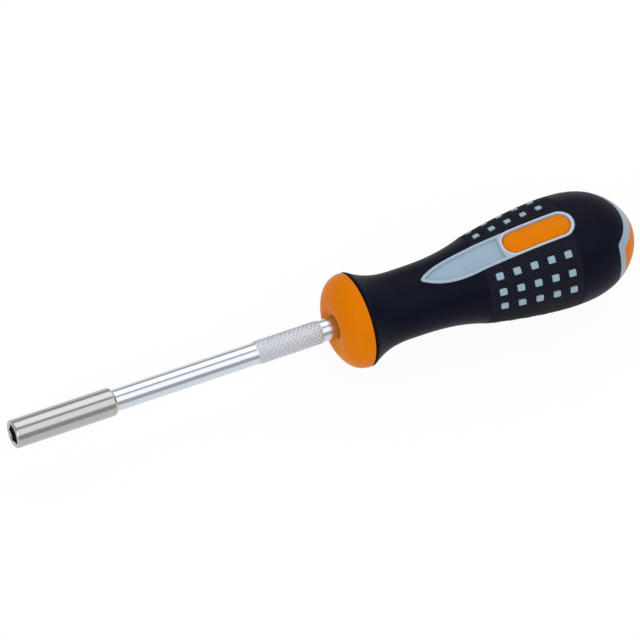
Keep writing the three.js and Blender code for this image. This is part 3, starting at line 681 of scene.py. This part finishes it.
# %% Skin
TEXTURE_PITCH, TEXTURE_STARTS, TEXTURE_RISE = 1.58, 72, 0.5
BAND_FRONT, BAND_BACK = SEAM_X + 44.0, SEAM_X + 78.1
BAND_RISE, BAND_EDGE = -0.15, 0.5
LIP_ROUND, SKIN_EDGE_ROUND = 0.5, 0.2
SKIN_START = SEAM_X + 0.3
SEAM_DEPTH, SEAM_GAP = 0.8, 0.02
PANEL_DIP = 2.6


def texture_height(x, angle):
    """The palm band is sunk a little and carries pyramids, whose tops stand just proud of the outline. Both
    fade out at the band's ends. The second value says how near its pyramid's top each place is, and sets the
    painted highlight on the tops."""
    round_part = TEXTURE_STARTS * angle / (2 * np.pi)
    along_part = (x - BAND_FRONT) / TEXTURE_PITCH
    pyramids = np.minimum(triangle_wave(along_part + round_part), triangle_wave(along_part - round_part))
    band = soft_step(x, BAND_FRONT, BAND_EDGE) * (1 - soft_step(x, BAND_BACK - BAND_EDGE, BAND_EDGE))
    return band * (BAND_RISE + TEXTURE_RISE * (pyramids - 0.5)), band * pyramids ** 2


def under_panels(x, angle):
    """How far inside a panel's outline a place on the skin lies, for whichever panel is nearer."""
    across = (angle + np.pi / 2) % np.pi - np.pi / 2
    flat = np.stack(np.broadcast_arrays(x, across * grip_radius(x)), axis=-1)
    return inset(flat, panel_outline[::6])


def under_studs(x, angle):
    """Whether a place on the skin is covered by a stud, which keeps the texture from coming through it."""
    covered = np.zeros(x.shape, bool)
    for middle in HANDLE_LABELS.values():
        for field in STUD_FIELDS.values():
            for stud_x, stud_angle, size in stud_places(*field, middle):
                off = (angle - stud_angle + np.pi) % (2 * np.pi) - np.pi
                across = np.abs(off) * grip_radius(x) / STUD_HALF_WIDTH
                covered |= np.maximum(np.abs(x - stud_x) / STUD_HALF_LENGTH, across) < STUD_COVER * size
    return covered


def full_rows(*values):
    """Rows of one value each, widened to the skin's columns."""
    return np.concatenate([np.broadcast_to(value, (len(value), SKIN_COLUMNS)) for value in values])


skin_turn = angles(SKIN_COLUMNS)
lip_turn = np.linspace(np.pi / 2, 0, 7)[:, None]
lip_x = SKIN_START + LIP_ROUND * (1 - np.cos(np.pi / 2 - lip_turn))
lip_radius = BOLSTER_RADIUS - LIP_ROUND * (1 - np.sin(np.pi / 2 - lip_turn))
neck_x = np.linspace(SKIN_START + LIP_ROUND, BAND_FRONT - 0.3, 62)[1:, None]
band_x = np.arange(BAND_FRONT, BAND_BACK + 0.01, TEXTURE_PITCH / 4)[:, None]
edge_radius = ring_edge(skin_turn) + 0.05
rear_share = np.concatenate([np.linspace(0, 0.96, 30)[1:], np.linspace(0.97, 1, 6)])[:, None]
rear_x = band_x[-1] + rear_share * (dome_x(edge_radius) - band_x[-1])
outer_x = full_rows(neck_x, band_x, rear_x)
panel_inset = under_panels(outer_x, skin_turn)
relief, tops = texture_height(outer_x, skin_turn)
relief = np.where(under_studs(outer_x, skin_turn), -TEXTURE_RISE, relief)
outer_radius = grip_radius(outer_x) + relief * soft_step(-panel_inset, 0, 0.5)
outer_radius -= PANEL_DIP * soft_step(panel_inset, 0.25, 0.5)
to_edge = np.hypot(dome_x(edge_radius) - outer_x, outer_radius - edge_radius)
outer_radius -= edge_drop(to_edge, SKIN_EDGE_ROUND)
inner_x = np.linspace(BUTT_FLOOR_X - 0.3, SKIN_START, 30)[:, None]
inner_radius = grip_radius(inner_x) - SKIN_THICKNESS

wall_x = np.full((1, 1), BUTT_FLOOR_X)
seam_x = np.array([[SEAM_X + SEAM_GAP], [SEAM_X + SEAM_GAP], [SKIN_START]])
seam_radius = np.array([inner_radius[-1], [BOLSTER_RADIUS - SEAM_DEPTH], [BOLSTER_RADIUS - SEAM_DEPTH]])
skin_x = full_rows(lip_x, outer_x, wall_x, inner_x, seam_x)
skin_radius = full_rows(lip_radius, outer_radius, edge_radius, inner_radius, seam_radius)
# Painted highlight on the texture's pyramid tops, so the grooves between them stay dark as painted shade
skin_highlight_tint = full_rows(0 * lip_x, tops, 0 * wall_x, 0 * inner_x, 0 * seam_x)
skin_grid = around(skin_x, skin_turn, skin_radius)
skin = make_piece("skin", [skin_grid], ["soft_grip"], wrap=True, sharp_deg=60,
                  tint=skin_highlight_tint)

# %% [markdown]
# ## The butt
# The pale ring and the orange cap go on along the same dome. Rows run evenly from one edge to the next, so
# each parting line is a row of the grid, and both pieces have a small round at it.

# %% Butt ring and end cap
PART_GAP, PART_ROUND = 0.05, 0.2
# How much longer the way along the dome is than the step in radius
RING_SLOPE, CAP_SLOPE = 1.3, 1.2
STEM_RADIUS, STEM_X = 4, PALM_X + 5.5
butt_turn = angles(SKIN_COLUMNS)
ring_outer, ring_inner = ring_edge(butt_turn) - PART_GAP, cap_edge(butt_turn) + PART_GAP
across_share = (0.5 - 0.5 * np.cos(np.linspace(0, np.pi, 30)))[:, None]
ring_radius = ring_outer + across_share * (ring_inner - ring_outer)
ring_x = dome_x(ring_radius)
ring_width = ring_outer - ring_inner
edge_distance = np.minimum(across_share, 1 - across_share) * ring_width * RING_SLOPE
ring_x = ring_x - edge_drop(edge_distance, PART_ROUND)
floor_x = np.full((1, SKIN_COLUMNS), BUTT_FLOOR_X)
butt_ring = make_piece(
    "butt_ring_face",
    [around(np.concatenate([floor_x, ring_x, floor_x]), butt_turn,
            np.concatenate([ring_outer, ring_radius, ring_inner]))],
    ["butt_ring"], wrap=True)

cap_outer = cap_edge(butt_turn) - PART_GAP
cap_share = np.concatenate([np.linspace(0, 0.1, 8)[:-1], np.linspace(0.1, 1, 40)])[:, None]
cap_radius = cap_outer * (1 - cap_share)
cap_x = dome_x(cap_radius) - edge_drop((cap_outer - cap_radius) * CAP_SLOPE, PART_ROUND)
stem = [(STEM_X, 0), (STEM_X, STEM_RADIUS), (BUTT_FLOOR_X, STEM_RADIUS)]
stem_x, stem_radius = (np.array(stem)[:, k, None] for k in range(2))
cap_grid = around(full_rows(stem_x, floor_x, cap_x), butt_turn, full_rows(stem_radius, cap_outer, cap_radius))
end_cap = make_piece("end_cap_face", [cap_grid], ["end_cap"])

# %% [markdown]
# ## Finishes
# A finish is a small tree of shader nodes. A class wraps a socket, so that sums and products in Python add
# Math nodes, and one method makes any other node. Patterns follow Object coordinates, because every piece
# sits at the origin with its place in its mesh.

# %% Shader helpers
class Value:
    """A shader socket whose arithmetic adds Math nodes."""

    def __init__(self, finish, socket):
        self.finish = finish
        self.socket = socket

    def math(self, operation, first, second):
        return self.finish.node("ShaderNodeMath", {"operation": operation}, {0: first, 1: second})

    def __add__(self, other):
        return self.math("ADD", self, other)

    def __sub__(self, other):
        return self.math("SUBTRACT", self, other)

    def __rsub__(self, other):
        return self.math("SUBTRACT", other, self)

    def __mul__(self, other):
        return self.math("MULTIPLY", self, other)

    __radd__ = __add__
    __rmul__ = __mul__


class Finish:
    """A material with one Principled shader."""

    def __init__(self, name):
        self.material = bpy.data.materials.new(name)
        self.material.use_nodes = True
        self.tree = self.material.node_tree
        self.shader = self.tree.nodes["Principled BSDF"]

    def put(self, socket, value):
        if isinstance(value, Value):
            self.tree.links.new(value.socket, socket)
        else:
            socket.default_value = value

    def node(self, kind, settings=None, inputs=None, output=0):
        """Any node: its settings first, then the values or links of its sockets."""
        made = self.tree.nodes.new(kind)
        for name, setting in (settings or {}).items():
            setattr(made, name, setting)
        for key, value in (inputs or {}).items():
            self.put(made.inputs[key], value)
        return Value(self, made.outputs[output])

    def noise(self, scale, stretch=(1, 1, 1), detail=3.0):
        """Noise on Object coordinates in millimetres, from 0 to 1, stretched along the axes."""
        place = self.node("ShaderNodeTexCoord", output="Object")
        scales = [side / MM for side in stretch]
        sized = self.node("ShaderNodeMapping", inputs={"Vector": place, "Scale": scales})
        return self.node("ShaderNodeTexNoise", inputs={"Vector": sized, "Scale": scale, "Detail": detail})

    def blend(self, factor, first, second):
        """A colour between two colours."""
        ends = [colour if isinstance(colour, Value) else (*colour, 1) for colour in (first, second)]
        inputs = {"Factor": factor, 6: ends[0], 7: ends[1]}
        return self.node("ShaderNodeMix", {"data_type": "RGBA"}, inputs, output=2)

    def bump(self, height, distance_mm, strength=1.0):
        """A normal from a height between 0 and 1 that stands for distance_mm."""
        inputs = {"Height": height, "Strength": strength, "Distance": distance_mm * MM}
        return self.node("ShaderNodeBump", inputs=inputs)

    def set(self, **sockets):
        for name, value in sockets.items():
            self.put(self.shader.inputs[name.replace("_", " ")], value)
        return self.material


def linear(red, green, blue):
    """A colour from its 8-bit values, as shaders take it."""
    value = np.array([red, green, blue]) / 255
    return tuple(np.where(value <= 0.04045, value / 12.92, ((value + 0.055) / 1.055) ** 2.4))


# %% [markdown]
# The blade's chrome is bright and a little blue, with faint drawn lines along it. The sleeve is turned
# stainless steel, warmer and duller, with fine rings round it that roughen its reflections.

# %% Metals
def satin_chrome():
    finish = Finish("satin_chrome")
    drawn = finish.noise(1.0, (0.05, 4, 4))
    clouds = finish.noise(0.35)
    knurled_part = finish.node("ShaderNodeAttribute", {"attribute_name": "tint"}, output="Fac")
    plain = finish.blend(clouds, (0.60, 0.635, 0.70), (0.66, 0.69, 0.75))
    colour = finish.blend(knurled_part, plain, (0.62, 0.64, 0.69))
    return finish.set(Base_Color=colour, Metallic=1.0, Roughness=0.14 + 0.1 * drawn + 0.3 * knurled_part,
                      Normal=finish.bump(drawn, 0.001))


def turned_stainless():
    finish = Finish("turned_stainless")
    rings_round = finish.noise(1.0, (9, 0.05, 0.05))
    clouds = finish.noise(0.3)
    colour = finish.blend(clouds, (0.43, 0.425, 0.415), (0.49, 0.485, 0.475))
    return finish.set(Base_Color=colour, Metallic=1.0, Roughness=0.14 + 0.1 * rings_round,
                      Normal=finish.bump(rings_round, 0.0012))


def plated_magnet():
    finish = Finish("plated_magnet")
    clouds = finish.noise(0.8)
    colour = finish.blend(clouds, (0.42, 0.42, 0.42), (0.55, 0.54, 0.52))
    return finish.set(Base_Color=colour, Metallic=1.0, Roughness=0.2 + 0.15 * clouds)


def spring_steel():
    finish = Finish("spring_steel")
    clouds = finish.noise(1.5)
    colour = finish.blend(clouds, (0.28, 0.28, 0.29), (0.4, 0.4, 0.41))
    return finish.set(Base_Color=colour, Metallic=1.0, Roughness=0.25 + 0.15 * clouds)


# %% [markdown]
# The plastics are moulded: the colour drifts a little over the surface, and a fine grain breaks up their
# gloss. The skin is softer and duller than the hard plastics, with a coarser grain. A third, lighter colour
# is painted highlight: on the tops of the skin's texture and on the panels' rims and beads.

# %% Plastics
def moulded_plastic(name, dark, light, roughness, grain_mm, specular, tinted=None):
    """Colour that drifts between two shades, with a fine grain; a tint leads over to a third, lighter colour,
    which is painted highlight.
    """
    finish = Finish(name)
    clouds = finish.noise(0.12)
    grain = finish.noise(5.0, detail=2.0)
    colour = finish.blend(clouds, dark, light)
    if tinted:
        tint = finish.node("ShaderNodeAttribute", {"attribute_name": "tint"}, output="Fac")
        colour = finish.blend(tint, colour, tinted)
    return finish.set(Base_Color=colour, Roughness=roughness + 0.1 * grain, Specular_IOR_Level=specular,
                      Normal=finish.bump(grain, grain_mm))


ORANGE = moulded_plastic("orange_plastic", linear(213, 114, 0), linear(221, 123, 0), 0.32, 0.004, 0.04)
# The pale plastic's third colour is the painted highlight on the panels' rims and beads
PALE = moulded_plastic("pale_plastic", linear(139, 163, 181), linear(151, 175, 192), 0.4, 0.006, 0.2,
                       linear(200, 206, 220))
# The skin's third colour is the painted highlight on its texture's tops; the grooves keep the dark base as
# painted shade
BLACK = moulded_plastic("black_skin", linear(7, 10, 25), linear(11, 14, 30), 0.4, 0.012, 0.06,
                        linear(48, 48, 56))

finishes = {
    blade: satin_chrome(), sleeve: turned_stainless(), magnet: plated_magnet(), spring_ring: spring_steel(),
    bolster: ORANGE, skin: BLACK, butt_ring: PALE, end_cap: ORANGE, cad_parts["handle_core"]: PALE}
finishes.update({thing: PALE for thing in panels + stud_pieces})
finishes.update({thing: ORANGE for thing in inlays})
for thing, material in finishes.items():
    thing.data.materials.clear()
    thing.data.materials.append(material)
print("finishes:", sorted({material.name for material in finishes.values()}))

# %% [markdown]
# ## Light and floor
# The photograph has a white ground and soft light from above. A wide floor stands for the ground: what the
# camera and the metal see of it is mostly white, and the rest is lit, so it keeps the tool's shadow.

# %% Floor
FLOOR_SIZE, WHITE_SHARE = 3.0, 0.94
floor_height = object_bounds()[0].z
square = ((-1, -1), (1, -1), (1, 1), (-1, 1))
corners = [(side * FLOOR_SIZE, end * FLOOR_SIZE, floor_height) for side, end in square]
floor_mesh = bpy.data.meshes.new("floor")
floor_mesh.from_pydata(corners, [], [(0, 1, 2, 3)])
floor = bpy.data.objects.new("floor", floor_mesh)
bpy.context.scene.collection.objects.link(floor)


def white_ground():
    """A white diffuse floor that camera, mirror and glass rays see mostly as plain white."""
    finish = Finish("white_ground")
    camera_ray, mirror_ray, glass_ray = (
        finish.node("ShaderNodeLightPath", output=f"Is {kind} Ray")
        for kind in ("Camera", "Glossy", "Transmission"))
    seen = camera_ray + mirror_ray + glass_ray
    finish.set(Base_Color=(0.95, 0.95, 0.95, 1), Roughness=1.0, Specular_IOR_Level=0.0)
    glow = finish.node("ShaderNodeEmission", inputs={"Color": (1, 1, 1, 1), "Strength": 1.0})
    lit = Value(finish, finish.shader.outputs[0])
    both = finish.node("ShaderNodeMixShader", inputs={0: WHITE_SHARE * seen, 1: lit, 2: glow})
    output = finish.tree.nodes["Material Output"]
    finish.put(output.inputs["Surface"], both)
    return finish.material


floor_mesh.materials.append(white_ground())
print("floor height in mm:", round(floor_height / MM, 2))

# %% [markdown]
# A mirror shows whatever stands where the camera's line of sight is thrown, so the blade's bright stripes
# are two lamps, one above the other, placed by the angle at which the blade mirrors the camera. A small
# third lamp lights the bolster's front. Sun lamps would be simpler, but their hard shadows aren't in the
# photograph.

# %% Lamps and sky
LAMP_DISTANCE, LAMP_LENGTH = 0.9, 1.3
SKY_STRENGTH = 0.48


def soft_lamp(name, toward, width, height, power):
    """A rectangular lamp that stands off from the tool and faces it, its width along the blade."""
    lamp_data = bpy.data.lights.new(name, "AREA")
    lamp_data.shape = "RECTANGLE"
    lamp_data.size = width
    lamp_data.size_y = height
    lamp_data.energy = power
    lamp = bpy.data.objects.new(name, lamp_data)
    direction = toward.normalized()
    along = (Vector((1, 0, 0)) - direction * direction.x).normalized()
    turn = Matrix((along, direction.cross(along), direction)).transposed().to_4x4()
    lamp.matrix_world = Matrix.Translation(LOOK_AT + direction * LAMP_DISTANCE) @ turn
    bpy.context.scene.collection.objects.link(lamp)


ACROSS = Vector((0, -0.4618, 0.8870))
ABOVE = Vector((0, 0.8870, 0.4618))
MIRRORED_LEAN = Vector((0.325, 0, 0))


def above_camera(degrees):
    """The way in which the blade mirrors the camera at an angle above it, as seen along the blade."""
    return MIRRORED_LEAN + ACROSS * np.cos(np.radians(degrees)) + ABOVE * np.sin(np.radians(degrees))


soft_lamp("key", above_camera(64), LAMP_LENGTH, 0.78, 3.9)
soft_lamp("fill", above_camera(-2), LAMP_LENGTH, 0.72, 2.9)
soft_lamp("front", Vector((-0.8, -0.4, 0.5)), 0.5, 0.5, 2.4)

sky = bpy.data.worlds.new("sky")
bpy.context.scene.world = sky
sky.use_nodes = True
sky.node_tree.nodes["Background"].inputs["Color"].default_value = (1, 1, 1, 1)
sky.node_tree.nodes["Background"].inputs["Strength"].default_value = SKY_STRENGTH
bpy.context.scene.view_settings.view_transform = "Standard"
